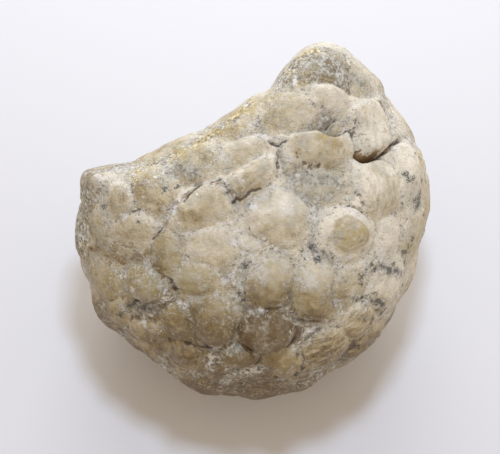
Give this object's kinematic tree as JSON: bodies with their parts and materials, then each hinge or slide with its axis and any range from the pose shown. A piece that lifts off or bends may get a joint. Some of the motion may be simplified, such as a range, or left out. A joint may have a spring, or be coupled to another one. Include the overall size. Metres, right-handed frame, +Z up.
{
  "type": "crinoid fossil",
  "caption": "Fossil crinoid calyx: a lopsided stone dome of swollen polygonal plates with a hollow base, lying on its side.",
  "frame": {"origin": "middle of the bounding box across, at the level of the flat underside that the fossil lies on", "axes": "+Z up from the surface it lies on; +X to the right across the display face; +Y away from someone who looks at the display face, towards the hollow base"},
  "size_m": [0.0416, 0.0386, 0.0355],
  "materials": {
    "fossil_stone": "waxy tan calcite plates, faintly translucent, with pale grey matrix in the sutures and ochre stains"
  },
  "bodies": {
    "root": {"crinoid_calyx": "fossil_stone"}
  },
  "joints": []
}
